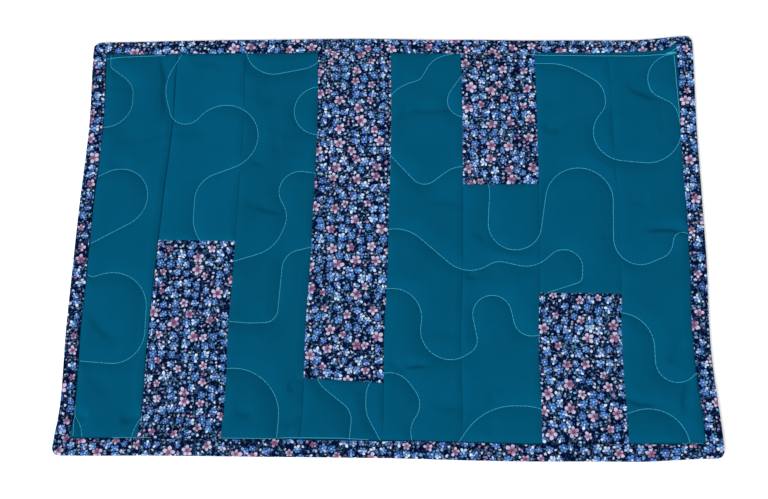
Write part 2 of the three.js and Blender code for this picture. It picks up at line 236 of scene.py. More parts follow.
# Creases in the face, in millimetres: soft troughs from one point to another
Crease = namedtuple("Crease", "x0 y0 x1 y1 depth width")
CREASES = [
    # first and second column
    Crease(-159, 131, -157, 106, 1.15, 1.6), Crease(-157, 106, -156, 88, 0.65, 1.6),
    Crease(-186, 68, -168, 70, 0.7, 3.1), Crease(-168, 70, -156, 74, 0.7, 3.1),
    Crease(-156, 74, -128, 74, 0.65, 3.1), Crease(-192, 52, -179, 50, 0.65, 2.2),
    Crease(-197, 108, -170, 108, 0.5, 2.6), Crease(-137, 129, -116, 123, 0.9, 3.1),
    Crease(-193, -53, -176, -71, 0.85, 2.6), Crease(-194, -94, -179, -102, 0.65, 3.5),
    Crease(-198, -118, -191, -120, 1.1, 1.8), Crease(-166, -121, -157, -118, 1.5, 2.2),
    # third and fourth column
    Crease(-98.5, 130, -98, 117, 0.85, 1.8), Crease(-90, 99, -78, 100, 0.65, 3.5),
    Crease(-86, 80, -65, 71, 0.7, 3.5), Crease(-78, 62, -73, 62, 0.5, 3.5),
    Crease(-92, 52, -85, 51, 0.7, 1.8), Crease(-94, 22, -84, 19, 0.65, 2.6),
    Crease(-84, 19, -72, 17, 1.1, 1.8), Crease(-95, -52, -81, -50, 0.65, 3.1),
    Crease(-95, -115, -85, -118, 1.1, 2.6), Crease(-61, -101, -56, -95, 1.1, 1.6),
    Crease(-56, -95, -51, -95, 1.1, 1.6), Crease(-61, -125, -52, -117, 1.1, 2.2),
    # fifth and sixth column
    Crease(7, 83, 13, 89, 0.85, 2.6), Crease(13, 89, 43, 92, 1.25, 2.4),
    Crease(27, 25, 50, 24, 0.65, 3.5), Crease(59, 3, 67, -1, 0.65, 2.6),
    Crease(54, -26, 60, -26, 0.85, 1.6), Crease(27, -65, 52, -64, 0.65, 3.1),
    Crease(14, -85, 28, -85, 1.7, 1.6), Crease(4, -84, 15, -89, 1.1, 2.2),
    Crease(32, -108, 49, -112, 0.7, 3.5), Crease(67, -106, 79, -94, 0.9, 2.6),
    Crease(64, -126, 69, -120, 0.65, 2.6),
    # seventh and eighth column
    Crease(107, 76, 118, 78, 1.1, 2.2), Crease(118, 78, 134, 90, 0.7, 2.2),
    Crease(104, 95, 116, 97, 0.5, 2.6), Crease(167, 108, 182, 99, 1.55, 2.6),
    Crease(151, 91, 168, 93, 0.5, 3.5), Crease(185, 92, 188, 73, 0.5, 2.6),
    Crease(162, 26, 173, 23, 0.5, 3.5), Crease(141, 5, 146, 0, 0.5, 2.6),
    Crease(175, 5, 197, 4, 2, 1.6), Crease(183, -82, 192, -72, 1.25, 2),
    Crease(154, -105, 170, -109, 1.55, 1.6), Crease(187, -114, 194, -95, 1.5, 2),
    Crease(178, -128, 181, -121, 0.65, 2.6),
]
CREASE_WANDER = 0.7 * MM
CREASE_WANDER_X = (9 * MM, 4 * MM)  # pace of the wander along X and Y
CREASE_WANDER_Y = (5 * MM, 8 * MM)
CREASE_FADE = 0.3  # share of a crease's length over which its ends fade
CREASE_LEAN = (1.1, 2.3)  # how steep and gentle sides of a crease widen it

# Slow waves over the whole face: length and height in millimetres, heading and phase in degrees
Wave = namedtuple("Wave", "length height heading phase")
WAVES = [
    Wave(83, 0.12, 20, 40), Wave(57, 0.1, 115, 200), Wave(37, 0.06, 70, 310), Wave(26, 0.04, 160, 95),
]

# Where the binding's face is narrower than its usual width, in millimetres
Waist = namedtuple("Waist", "along narrower")
BINDING_WAIST = {
    "near": [Waist(-209.5, 0.4), Waist(150, 0.4), Waist(180, 1.2), Waist(209.5, 1.9)],
    "far": [
        Waist(-209.5, 2.1), Waist(-180, 1.4), Waist(-159, 0.7), Waist(-120, 0.4), Waist(80, 0.4),
        Waist(110, 1.4), Waist(209.5, 1.6),
    ],
}

# The binding's corner that came out loose: the far strip tapers there and the
# right strip runs on past it
LOOSE_TAPER = 7 * MM
LOOSE_FACE = 4 * MM

# Pace, along a strip, of the wander of its stitched edge and of its ripples
WANDER_PACES = (17.3 * MM, 7.1 * MM)
RIPPLE_PACES = (4.5 * MM, 2.9 * MM)

# Each piece is cut from its own place in the cloth, a little off the grain
CUT_SLIDE = (0.173, 0.291)
GRAIN_TILT = math.radians(1.3)

# Colours of the cloth and thread are named by their sRGB bytes
SRGB_KNEE = 0.04045


def linear(*channels):
    """Linear shares of an sRGB colour given in bytes."""
    shares = [channel / 255 for channel in channels]
    return tuple(s / 12.92 if s <= SRGB_KNEE else ((s + 0.055) / 1.055) ** 2.4 for s in shares)


def length(name, description, millimetres):
    """A length property, in metres."""
    return FloatProperty(
        name=name, description=description, default=millimetres * MM, min=0, precision=5, unit="LENGTH",
    )


def colour(name, description, *channels):
    """A colour property from sRGB bytes."""
    return FloatVectorProperty(
        name=name, description=description, default=linear(*channels),
        min=0, max=1, size=3, subtype="COLOR",
    )


class QuiltSizes(PropertyGroup):
    """Heights and reaches of the quilted face."""

    puff_height: length("Puff height", "Full loft between the quilting lines", 4.2)
    stitched_height: length("Stitched height", "Face pulled down at a quilting line", 2.3)
    seam_height: length("Seam height", "Face beside a seam between two patches", 3.1)
    edge_height: length("Edge height", "Face beside the binding", 2.7)
    puff_reach: length("Puff reach", "From a quilting line out to full loft", 15)
    seam_reach: length("Seam reach", "From a seam out to full loft", 8)
    edge_reach: length("Edge reach", "From the binding out to full loft", 10)
    softness: length("Softness", "How softly one slope runs into the next", 0.5)
    pull_depth: length("Pull depth", "How far the thread pulls the face down beside a line", 0.2)
    pull_reach: length("Pull reach", "Width of that pull", 1.8)
    cross_ditch: length("Cross ditch", "How deep a patch rolls into its cross seam", 0.2)
    ditch_reach: length("Ditch reach", "Width of a patch's roll into a seam", 0.9)
    allowance_width: length("Allowance width", "Allowance pressed to the left of a long seam", 6.35)
    allowance_share: FloatProperty(
        name="Allowance share", description="Rise of the allowance, as a share of its seam's ditch",
        default=0.8, min=0,
    )
    allowance_fade: length("Allowance fade", "Width of the allowance's soft edge", 1.6)
    grid_step: length("Grid step", "Spacing of the patches' grid lines", 1.0)


class BindingSizes(PropertyGroup):
    """Section and unevenness of the folded binding."""

    height: length("Height", "Thickness of the mat at the binding", 3.6)
    cloth: length("Cloth", "Thickness of the folded strip, all its layers together", 1.0)
    fold_radius: length("Fold radius", "Roundness of the outer fold", 1.3)
    edge_radius: length("Edge radius", "Roundness of the stitched edge", 0.34)
    crown: length("Crown", "Rise of the face between its fold and its stitched edge", 0.2)
    stitched_drop: length("Stitched drop", "Fall of the face at its stitched edge", 0.3)
    wander: length("Wander", "How far the stitched edge wanders", 0.25)
    ripple: length("Ripple", "Height of the ripples along the face", 0.13)
    mitre_drop: length("Mitre drop", "Fall of the face at a mitre", 0.35)
    mitre_reach: length("Mitre reach", "Width of that fall", 1.6)
    step: length("Step", "Spacing of the sections along a strip", 2.0)


class ThreadSizes(PropertyGroup):
    """Sizes of the sewing thread and its stitches."""

    thickness: length("Thickness", "Diameter of the thread", 0.33)
    stitch: length("Stitch", "Usual length of one stitch", 2.6)
    hole: length("Hole", "Gap between stitches, where the needle went in", 0.06)
    lift: length("Lift", "How far the middle of a stitch lies above the cloth", 0.2)
    sink: length("Sink", "How far the ends of a stitch dip into the cloth", 0.02)
    print_sink: length("Print sink", "How much deeper a stitch lies in the print", 0.16)
    top_sink: length("Top sink", "How much deeper the top stitch lies than the quilting", 0.07)


class PrintSizes(PropertyGroup):
    """Sizes and spacings of the printed sprigs, and of the weave."""

    rose_spacing: length("Rose spacing", "Usual distance between pink flowers", 14.2)
    rose_radius: length("Rose radius", "Radius of a large pink flower", 3.7)
    blue_spacing: length("Blue spacing", "Usual distance between blue flowers", 6.8)
    blue_radius: length("Blue radius", "Radius of a large blue flower", 2.9)
    bud_spacing: length("Bud spacing", "Usual distance between small buds", 2.9)
    bud_radius: length("Bud radius", "Radius of a small bud", 1.05)
    leaf_spacing: length("Leaf spacing", "Usual distance between leaves", 2.4)
    leaf_length: length("Leaf length", "Half length of a leaf", 1.2)
    leaf_width: length("Leaf width", "Half width of a leaf", 0.42)
    stem_spacing: length("Stem spacing", "Size of the loops that the stems make", 7)
    thread_pitch: length("Thread pitch", "Spacing of the weave's threads", 0.4)


class ClothColours(PropertyGroup):
    """Colours of the cloths and the sewing thread."""

    plain: colour("Plain", "Plain teal cotton", 0, 84, 117)
    # Plain shade is the cloth's own darker patches, and also painted shade in the weave's gaps
    plain_shade: colour("Plain shade", "Teal cotton in the weave's gaps and darker patches", 0, 73, 102)
    ground: colour("Print ground", "Dark navy behind the flowers", 0, 14, 48)
    stem: colour("Stem", "Printed stems", 64, 104, 150)
    leaf_dark: colour("Dark leaf", "Darker printed leaves", 14, 44, 80)
    leaf_pale: colour("Pale leaf", "Paler printed leaves", 94, 122, 148)
    bud_white: colour("White bud", "Palest buds", 204, 216, 244)
    bud_aqua: colour("Aqua bud", "Pale blue buds", 116, 164, 210)
    bud_pink: colour("Pink bud", "Dusty pink buds", 176, 142, 184)
    rose_heart: colour("Rose heart", "Heart of a pink flower", 104, 48, 84)
    rose: colour("Rose", "Inner petals of a pink flower", 138, 92, 128)
    rose_pale: colour("Pale rose", "Petal tips of a pink flower", 208, 198, 228)
    shadow: colour("Shadow", "Shaded ground round a flower and between pink petals", 6, 24, 62)
    blue_shade: colour("Blue shade", "Lines between the petals of a blue flower", 10, 28, 92)
    blue_deep: colour("Deep blue", "Inner and darker petals of a blue flower", 24, 68, 156)
    blue: colour("Blue", "Petals of a blue flower", 72, 134, 210)
    blue_pale: colour("Pale blue", "Lit petals and heart of a blue flower", 212, 234, 255)
    thread: colour("Thread", "Pale aqua sewing thread", 74, 188, 216)
    # Thread shade is painted shade in the grooves of the thread's twist
    thread_shade: colour("Thread shade", "Thread in the grooves of its twist", 40, 146, 178)


class StageSettings(PropertyGroup):
    """Floor, lights and camera."""

    floor: colour("Floor", "Pale floor", 244, 244, 244)
    sky: FloatProperty(name="Sky", description="Strength of the light all round", default=0.58, min=0)
    floor_glow: FloatProperty(
        name="Floor glow", description="Light from behind the floor paper, which clears its shadows",
        default=0.35, min=0,
    )
    key: FloatProperty(name="Key", description="Strength of the broad lamp", default=3.05, min=0)
    key_turn: FloatVectorProperty(
        name="Key turn", description="How the lamp is turned, away from straight down",
        default=tuple(math.radians(angle) for angle in (52, 0, -42)), subtype="EULER",
    )
    key_spread: FloatProperty(
        name="Key spread", description="Breadth of the lamp, as seen from the mat",
        default=math.radians(25), min=0, subtype="ANGLE",
    )
    camera_place: FloatVectorProperty(
        name="Camera place", description="Where the camera stands",
        default=(0.0248, -0.1468, 0.5478), subtype="TRANSLATION",
    )
    camera_turn: FloatVectorProperty(
        name="Camera turn", description="How the camera is turned",
        default=tuple(math.radians(angle) for angle in (14.2, 2.46, 0.89)), subtype="EULER",
    )
    lens: FloatProperty(
        name="Lens", description="Focal length on a 36 mm sensor", default=39.84, min=1, unit="CAMERA",
    )


SETTINGS = {
    "placemat_quilt": QuiltSizes,
    "placemat_binding": BindingSizes,
    "placemat_thread": ThreadSizes,
    "placemat_print": PrintSizes,
    "placemat_colours": ClothColours,
    "placemat_stage": StageSettings,
}


# The mat's outline and layout

OUTLINE_POINTS = 400  # on each side


def eased(rows, along):
    """Value at a place along a table of place and value in millimetres, eased from row to row."""
    places, values = np.array(rows).T * MM
    row = np.clip(np.searchsorted(places, along, side="right"), 1, len(places) - 1)
    share = np.clip((along - places[row - 1]) / (places[row] - places[row - 1]), 0, 1)
    ease = (1 - np.cos(np.pi * share)) / 2
    return values[row - 1] + (values[row] - values[row - 1]) * ease


def bowed(x, y):
    """Points of the true rectangle with round corners and bowed edges."""
    past_x = np.abs(x) - (WIDTH / 2 - CORNER_RADIUS)
    past_y = np.abs(y) - (DEPTH / 2 - CORNER_RADIUS)
    at_corner = (past_x > 0) & (past_y > 0)
    reach = np.where(at_corner, np.hypot(past_x, past_y), 1)
    pull = np.where(at_corner, 1 - np.maximum(past_x, past_y) / reach, 0)
    x = x - np.sign(x) * past_x * pull
    y = y - np.sign(y) * past_y * pull
    across = x / WIDTH + 0.5
    up = y / DEPTH + 0.5
    out_x = eased(EDGE_BOW["right"], y) * across - eased(EDGE_BOW["left"], y) * (1 - across)
    out_y = eased(EDGE_BOW["far"], x) * up - eased(EDGE_BOW["near"], x) * (1 - up)
    return x + out_x, y + out_y


def middle_of_outline():
    """Middle of the bowed mat's box, which the solids have at the origin."""
    along = np.linspace(-0.5, 0.5, OUTLINE_POINTS)
    edge = np.full_like(along, 0.5)
    x = np.concatenate([along, along, edge, -edge]) * WIDTH
    y = np.concatenate([edge, -edge, along, along]) * DEPTH
    return [(values.min() + values.max()) / 2 for values in bowed(x, y)]


MIDDLE = middle_of_outline()


def lie(x, y):
    """Where points of the true rectangle lie on the real, uneven mat."""
    bowed_x, bowed_y = bowed(x, y)
    return bowed_x - MIDDLE[0], bowed_y - MIDDLE[1]


def long_seam(index, y):
    """X of a long seam at places along it."""
    seam = LONG_SEAMS[index]
    share = (y - FIELD["near"]) / (FIELD["far"] - FIELD["near"])
    return (seam.near + (seam.far - seam.near) * share + 4 * seam.bow * share * (1 - share)) * MM


def column_sides(index, y):
    """X of a column's left and right side at places along it."""
    first = index == 0
    last = index == len(COLUMNS) - 1
    low = np.full_like(y, FIELD["left"]) if first else long_seam(index - 1, y)
    high = np.full_like(y, FIELD["right"]) if last else long_seam(index, y)
    return low, high


def cross_seam(column, share):
    """Y of a column's cross seam at a share of the way across it."""
    return (column.cross_left + (column.cross_right - column.cross_left) * share) * MM


def cross_seam_distance(x, y):
    """Distance of points to the cross seam of their column, far off where it has none."""
    distance = np.full_like(x, WIDTH)
    for index, column in enumerate(COLUMNS):
        if column.near is None:
            continue
        low, high = column_sides(index, y)
        share = (x - low) / (high - low)
        inside = (share > 0) & (share < 1)
        distance = np.where(inside, np.abs(y - cross_seam(column, share)), distance)
    return distance


def lies_on_print(x, y):
    """Whether points of the true rectangle lie on a print patch."""
    on_print = np.zeros(x.shape, dtype=bool)
    for index, column in enumerate(COLUMNS):
        low, high = column_sides(index, y)
        share = (x - low) / (high - low)
        beyond = True if column.near is None else y > cross_seam(column, share)
        printed = np.where(beyond, column.far == "print", column.near == "print")
        on_print |= printed & (share > 0) & (share < 1)
    return on_print


def shown(path):
    """The part of a line that runs over the patches, up to where the binding hides it."""
    x, y = path.T
    over_x = np.maximum(FIELD["left"] - x, x - FIELD["right"])
    over_y = np.maximum(FIELD["near"] - y, y - FIELD["far"])
    return path[np.maximum(over_x, over_y) < UNDER_BINDING]


def quilting_path(stops):
    """Points along one quilting line: straight runs that just touch the bends, and the arcs between."""
    headings = []
    for a, b in zip(stops, stops[1:]):
        swing = math.asin(max(-1, min(1, (a.radius - b.radius) / math.hypot(b.x - a.x, b.y - a.y))))
        headings.append(math.atan2(b.y - a.y, b.x - a.x) + swing)

    def touching(stop, heading):
        x = stop.x + stop.radius * np.sin(heading)
        y = stop.y - stop.radius * np.cos(heading)
        return np.stack([x, y], axis=-1)

    runs = [np.array([[stops[0].x, stops[0].y]])]
    for i in range(1, len(stops)):
        start = runs[-1][-1]
        arrival = touching(stops[i], headings[i - 1])
        steps = max(1, round(math.dist(start, arrival) / QUILTING_STEP))
        runs.append(start + np.linspace(0, 1, steps + 1)[1:, None] * (arrival - start))
        if i < len(stops) - 1:
            side = math.copysign(1, stops[i].radius)
            turn = (side * (headings[i] - headings[i - 1])) % math.tau
            steps = max(2, round(turn * abs(stops[i].radius) / QUILTING_STEP))
            turned = side * turn * np.linspace(0, 1, steps + 1)[1:]
            runs.append(touching(stops[i], headings[i - 1] + turned))
    return np.concatenate(runs)


# The quilted face


def loft(distance, reach):
    """Soft rise from 0 to 1 over a reach, steep at first like a filled channel."""
    return 1 - (1 - np.clip(distance / reach, 0, 1)) ** 2


def soft_lowest(a, b, softness):
    """The lower of two heights, rounded where they cross."""
    share = np.clip(0.5 + (b - a) / (2 * softness), 0, 1)
    return b + (a - b) * share - softness * share * (1 - share)


def ditch(distance, depth, reach):
    """Depth of a ditch with round shoulders."""
    return depth * (1 - np.clip(distance / reach, 0, 1)) ** 2


def smooth_step(share):
    share = np.clip(share, 0, 1)
    return share * share * (3 - 2 * share)


def crease_depth(x, y):
    """How far the creases, which wander a little and fade out at their ends, pull the face down."""
    wander_x = CREASE_WANDER * np.sin(y / CREASE_WANDER_X[1] + x / CREASE_WANDER_X[0])
    wander_y = CREASE_WANDER * np.sin(x / CREASE_WANDER_Y[0] - y / CREASE_WANDER_Y[1])
    depth = np.zeros_like(x)
    for crease in CREASES:
        run = np.array([crease.x1 - crease.x0, crease.y1 - crease.y0]) * MM
        beside_x = x + wander_x - crease.x0 * MM
        beside_y = y + wander_y - crease.y0 * MM
        share = (beside_x * run[0] + beside_y * run[1]) / (run @ run)
        away = (beside_x * run[1] - beside_y * run[0]) / np.hypot(*run)
        from_end = 0.5 - np.abs(share - 0.5)
        fade = smooth_step((from_end / CREASE_FADE + 1) / 2)
        gentle = away * (run[1] - run[0]) > 0
        width = crease.width * MM * np.where(gentle, CREASE_LEAN[1], CREASE_LEAN[0])
        depth += crease.depth * MM * fade * np.exp(-((away / width) ** 2))
    return depth


def slow_waves(x, y):
    """Unevenness of the filling over the whole face."""
    height = np.zeros_like(x)
    for wave in WAVES:
        heading = math.radians(wave.heading)
        along = (x * math.cos(heading) + y * math.sin(heading)) / (wave.length * MM)
        height += wave.height * MM * np.sin(math.tau * along + math.radians(wave.phase))
    return height


class QuiltedFace:
    """Height of the quilt's face over the true rectangle."""

    def __init__(self, sizes):
        self.sizes = sizes
        self.lines = [quilting_path(stops) for stops in QUILTING]
        points = np.concatenate(self.lines)
        self.tree = KDTree(len(points))
        for index, (x, y) in enumerate(points):
            self.tree.insert((x, y, 0), index)
        self.tree.balance()

    def quilting_distance(self, x, y):
        found = [self.tree.find((px, py, 0))[2] for px, py in zip(x.ravel(), y.ravel())]
        return np.array(found).reshape(x.shape)

    def height(self, x, y):
        sizes = self.sizes
        stitch = self.quilting_distance(x, y)
        beside_seams = [long_seam(index, y) - x for index in range(len(LONG_SEAMS))]
        cross = cross_seam_distance(x, y)
        seam = np.min([cross, *np.abs(beside_seams)], axis=0)
        edge = np.min([
            x - FIELD["left"], FIELD["right"] - x, y - FIELD["near"], FIELD["far"] - y,
        ], axis=0)
        slopes = [
            (stitch, sizes.stitched_height, sizes.puff_reach),
            (seam, sizes.seam_height, sizes.seam_reach),
            (edge, sizes.edge_height, sizes.edge_reach),
        ]
        face = np.full_like(x, sizes.puff_height)
        for distance, low, reach in slopes:
            slope = low + (sizes.puff_height - low) * loft(distance, reach)
            face = soft_lowest(face, slope, sizes.softness)
        face += slow_waves(x, y) * loft(edge, sizes.edge_reach)
        face -= ditch(stitch, sizes.pull_depth, sizes.pull_reach)
        face -= ditch(cross, sizes.cross_ditch, sizes.ditch_reach)
        for seam, beside in zip(LONG_SEAMS, beside_seams):
            ridge = smooth_step((sizes.allowance_width - beside) / sizes.allowance_fade)
            face += np.where(beside > 0, sizes.allowance_share * seam.ditch * MM * ridge, 0)
            face -= ditch(np.abs(beside), seam.ditch * MM, sizes.ditch_reach)
        return face - crease_depth(x, y)


# Meshes


def cloth_piece(name, points, faces, cloth, material):
    """A mesh object with a cloth coordinate at each point."""
    mesh = bpy.data.meshes.new(name)
    mesh.from_pydata(points.reshape(-1, 3).tolist(), [], faces)
    mesh.polygons.foreach_set("use_smooth", [True] * len(mesh.polygons))
    mesh.set_sharp_from_angle(angle=SHARP_ANGLE)
    mesh.attributes.new("cloth", "FLOAT_VECTOR", "POINT")
    mesh.attributes["cloth"].data.foreach_set("vector", cloth.astype(np.float32).ravel())
    mesh.materials.append(material)
    mesh.validate()
    piece = bpy.data.objects.new(name, mesh)
    bpy.context.scene.collection.objects.link(piece)
    return piece


def cut_from_cloth(number, along, across, tone=0):
    """Cloth coordinates of a piece, cut from its own place and a little off the grain, and its tone."""
    tilt = GRAIN_TILT * math.sin(number)
    x = along * math.cos(tilt) - across * math.sin(tilt) + number * CUT_SLIDE[0]
    y = along * math.sin(tilt) + across * math.cos(tilt) + number * CUT_SLIDE[1]
    return np.stack([x, y, np.full_like(x, tone)], axis=-1)


def grid_faces(rows, columns, first, facing_up):
    """Four-sided faces of a grid of points."""
    row, column = np.meshgrid(np.arange(rows - 1), np.arange(columns - 1), indexing="ij")
    corner = (first + row * columns + column).ravel()
    quads = np.stack([corner, corner + 1, corner + columns + 1, corner + columns], axis=1)
    return (quads if facing_up else quads[:, ::-1]).tolist()


def patch_lines(size, step, low_reach, high_reach):
    """Grid lines across a patch: shares of its width, offsets, and whether each lies on the tongue."""
    count = max(2, round(size / step))
    lines = [(k / count, 0, False) for k in range(1, count)]
    for share, outward, reach in ((0, -1, low_reach), (1, 1, high_reach)):
        if reach:
            edge = [(share, 0, False)]
            edge += [(share, outward * past, True) for past in (STEP_WIDTH, reach)]
        else:
            edge = [(share, -outward * inset, False) for inset in (*ROLL_STEPS[::-1], 0)]
        lines = lines + edge if share else edge[::-1] + lines
    shares, offsets, thin = zip(*lines)
    return np.array(shares), np.array(offsets), np.array(thin)


def tongue_reach(side):
    return BINDING_FACE[side] + BINDING_CLEARANCE - TONGUE_INSET


def make_patch(index, part, number, face, material):
    """One patch of the pieced face, as thick as the quilt."""
    column = COLUMNS[index]
    first = index == 0
    last = index == len(COLUMNS) - 1
    near_seam = column.near is not None and part == "far"
    far_seam = column.near is not None and part == "near"
    middle = np.zeros(1)
    left_side, right_side = (float(side[0]) for side in column_sides(index, middle))
    near_side = cross_seam(column, 0.5) if near_seam else FIELD["near"]
    far_side = cross_seam(column, 0.5) if far_seam else FIELD["far"]

    step = face.sizes.grid_step
    share_x, offset_x, thin_x = patch_lines(
        right_side - left_side, step,
        tongue_reach("left") if first else 0, tongue_reach("right") if last else 0,
    )
    share_y, offset_y, thin_y = patch_lines(
        far_side - near_side, step,
        0 if near_seam else tongue_reach("near"), 0 if far_seam else tongue_reach("far"),
    )
    share_y, share_x = np.meshgrid(share_y, share_x, indexing="ij")
    offset_y, offset_x = np.meshgrid(offset_y, offset_x, indexing="ij")
    thin = thin_y[:, None] | thin_x[None, :]

    beside_seam = SEAM_CLEARANCE / 2
    near = cross_seam(column, share_x) + beside_seam if near_seam else FIELD["near"] + BINDING_CLEARANCE
    far = cross_seam(column, share_x) - beside_seam if far_seam else FIELD["far"] - BINDING_CLEARANCE
    y = near + (far - near) * share_y + offset_y
    low, high = column_sides(index, y)
    low = low + (BINDING_CLEARANCE if first else beside_seam)
    high = high - (BINDING_CLEARANCE if last else beside_seam)
    x = low + (high - low) * share_x + offset_x

    top = np.where(thin, TONGUE_HIGH, face.height(x, y))
    underside = np.where(thin, TONGUE_LOW, 0)
    lie_x, lie_y = lie(x, y)
    points = np.stack([np.stack([lie_x, lie_y, z], axis=-1) for z in (top, underside)])

    rows, columns = x.shape
    under = rows * columns
    faces = grid_faces(rows, columns, 0, True) + grid_faces(rows, columns, under, False)
    rim = [i for i in range(columns - 1)]
    rim += [j * columns + columns - 1 for j in range(rows - 1)]
    rim += [(rows - 1) * columns + i for i in range(columns - 1, 0, -1)]
    rim += [j * columns for j in range(rows - 1, 0, -1)]
    faces += [[a + under, b + under, b, a] for a, b in zip(rim, rim[1:] + rim[:1])]

    cloth = np.tile(cut_from_cloth(number, x, y, column.tone).reshape(-1, 3), (2, 1))
    name = f"{getattr(column, part)}_{index + 1}"
    piece = cloth_piece(f"{name}_cloth", points, faces, cloth, material)
    return dress(piece, name, f"{getattr(column, part)}_cotton")


def dress(piece, node, slot):
    """Puts a piece of cloth in the place of its solid."""
    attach(piece, BODY)
    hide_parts(node)
    return piece


def side_point(side, along, depth):
    """Points so far along one side of the mat and so far in from its edge."""
    if side in ("near", "far"):
        y = DEPTH / 2 - depth
        return along, y if side == "far" else -y
    x = WIDTH / 2 - depth
    return (x if side == "right" else -x), along


ENDS = {
    "near": ("left", "right"), "far": ("left", "right"),
    "left": ("near", "far"), "right": ("near", "far"),
}


# Points round a binding's section: at its stitched edge, across its face and round its fold
EDGE_POINTS = 6
CROWN_POINTS = 10
FOLD_POINTS = 11


def crown_height(share, sizes):
    """Height of the binding's face, from its stitched edge at 0 to its fold at 1."""
    return sizes.height + 4 * sizes.crown * share * (1 - share) - sizes.stitched_drop * (1 - share) ** 2


def binding_section(face, sizes):
    """Depth from the mat's edge and height of points round the strip, from below its stitched edge."""
    middle = sizes.height / 2
    radius = sizes.edge_radius
    edge = face - radius
    half_turn = np.linspace(-np.pi / 2, np.pi / 2, EDGE_POINTS)
    across = np.linspace(0, 1, CROWN_POINTS)[1:-1]
    fold = np.linspace(0, np.pi, FOLD_POINTS)
    edge_middle = crown_height(0, sizes) - radius
    round_depth = edge + radius * np.cos(half_turn)
    round_height = radius * np.sin(half_turn)
    stitched_edge = np.stack([round_depth, edge_middle + round_height])
    crown = np.stack([edge + (sizes.fold_radius - edge) * across, crown_height(across, sizes)])
    outer_fold = np.stack([sizes.fold_radius * (1 - np.sin(fold)), middle * (1 + np.cos(fold))])
    under_depth = sizes.fold_radius + (edge - sizes.fold_radius) * across
    underside = np.stack([under_depth, np.zeros_like(across)])
    under_edge = np.stack([round_depth, radius + round_height])
    inner = sizes.fold_radius - sizes.cloth
    inner_fold = np.stack(
        [sizes.fold_radius - inner * np.sin(fold), middle - (middle - sizes.cloth) * np.cos(fold)],
    )
    return np.concatenate([stitched_edge, crown, outer_fold, underside, under_edge, inner_fold], axis=1)


def face_width(side, along):
    """Width of the binding's face at places along a side."""
    width = np.full_like(along, BINDING_FACE[side])
    if side in BINDING_WAIST:
        width = width - eased(BINDING_WAIST[side], along)
    if side == "far":
        closing = np.clip((along - FIELD["right"] + LOOSE_TAPER) / LOOSE_TAPER, 0, 1)
        width = width + closing * (LOOSE_FACE - width)
    return width


def along_strip(side, share, depth, face):
    """Places along a strip at a share of its length, with mitred ends."""
    before, after = ENDS[side]
    half = (WIDTH if side in ("near", "far") else DEPTH) / 2
    corner = np.array({"left": -WIDTH, "right": WIDTH, "near": -DEPTH, "far": DEPTH}[side] / 2)
    start = -half + depth / face * face_width(before, corner) + MITRE_CLEARANCE
    end = half - depth / face * face_width(after, corner) - MITRE_CLEARANCE
    return start + (end - start) * share


def make_binding(side, number, sizes, material):
    """One side of the binding, folded round the edge, with mitred ends."""
    face = BINDING_FACE[side]
    strip = WIDTH if side in ("near", "far") else DEPTH
    section_depth, section_height = binding_section(face, sizes)
    share = np.linspace(0, 1, round(strip / sizes.step) + 1)[:, None]
    depth = np.broadcast_to(section_depth, (len(share), len(section_depth)))
    along = along_strip(side, share, depth, face)
    inward = depth / face
    slow, quick = (along / pace for pace in WANDER_PACES)
    wander = sizes.wander * (np.sin(slow + number) + 0.6 * np.sin(quick + 2 * number))
    broad, fine = (along / pace for pace in RIPPLE_PACES)
    ripple = sizes.ripple * (np.sin(broad + 3 * number) + np.sin(fine + number))
    x, y = lie(*side_point(side, along, inward * face_width(side, along) + wander * inward ** 2))

    upper = section_height / sizes.height
    to_end = np.minimum(share, 1 - share) * strip
    mitre = sizes.mitre_drop * (1 - np.clip(to_end / sizes.mitre_reach, 0, 1)) ** 2
    z = section_height + np.clip(upper, 0, 1) ** 2 * (ripple * inward * (1.2 - inward) * 2 - mitre)

    stations, count = x.shape
    points = np.stack([x, y, np.maximum(z, 0)], axis=-1)
    ring = np.arange(count)
    after = (ring + 1) % count
    start = (np.arange(stations - 1) * count)[:, None]
    quads = [start + ring, start + after, start + count + after, start + count + ring]
    quads = np.stack(quads, axis=-1)
    faces = quads.reshape(-1, 4).tolist()
    last = (stations - 1) * count
    faces += [ring[::-1].tolist(), (last + ring).tolist()]
    if side in ("far", "left"):
        faces = [quad[::-1] for quad in faces]

    edges = np.hypot(section_depth[after] - section_depth, section_height[after] - section_height)
    round_cloth = np.broadcast_to(np.cumsum(edges) - edges, x.shape)
    cloth = cut_from_cloth(number, along, round_cloth).reshape(-1, 3)
    piece = cloth_piece(f"binding_{side}_cloth", points, faces, cloth, material)
    return dress(piece, f"binding_{side}", "print_cotton")


# Stitches

STITCH_SIDES = 6
STITCH_SHARES = np.array([0, 0.16, 0.5, 0.84, 1])
STITCH_ARCH = np.array([-1, 0.5, 1, 0.5, -1])  # from sunk ends to the lifted middle
STITCH_LENGTH_SPREAD = 0.12
STITCH_SEED = 11


def stitch_places(path, sizes, chance):
    """Points along each stitch of a line, five to a stitch, on the true rectangle."""
    run = np.concatenate([[0], np.cumsum(np.hypot(*np.diff(path, axis=0).T))])
    count = max(1, round(run[-1] / (sizes.stitch + sizes.hole)))
    holes = np.linspace(0, run[-1], count + 1)
    holes[1:-1] += chance.uniform(-STITCH_LENGTH_SPREAD, STITCH_LENGTH_SPREAD, count - 1) * sizes.stitch
    start = holes[:-1, None] + sizes.hole / 2
    end = holes[1:, None] - sizes.hole / 2
    places = start + (end - start) * STITCH_SHARES
    return np.interp(places, run, path[:, 0]), np.interp(places, run, path[:, 1])


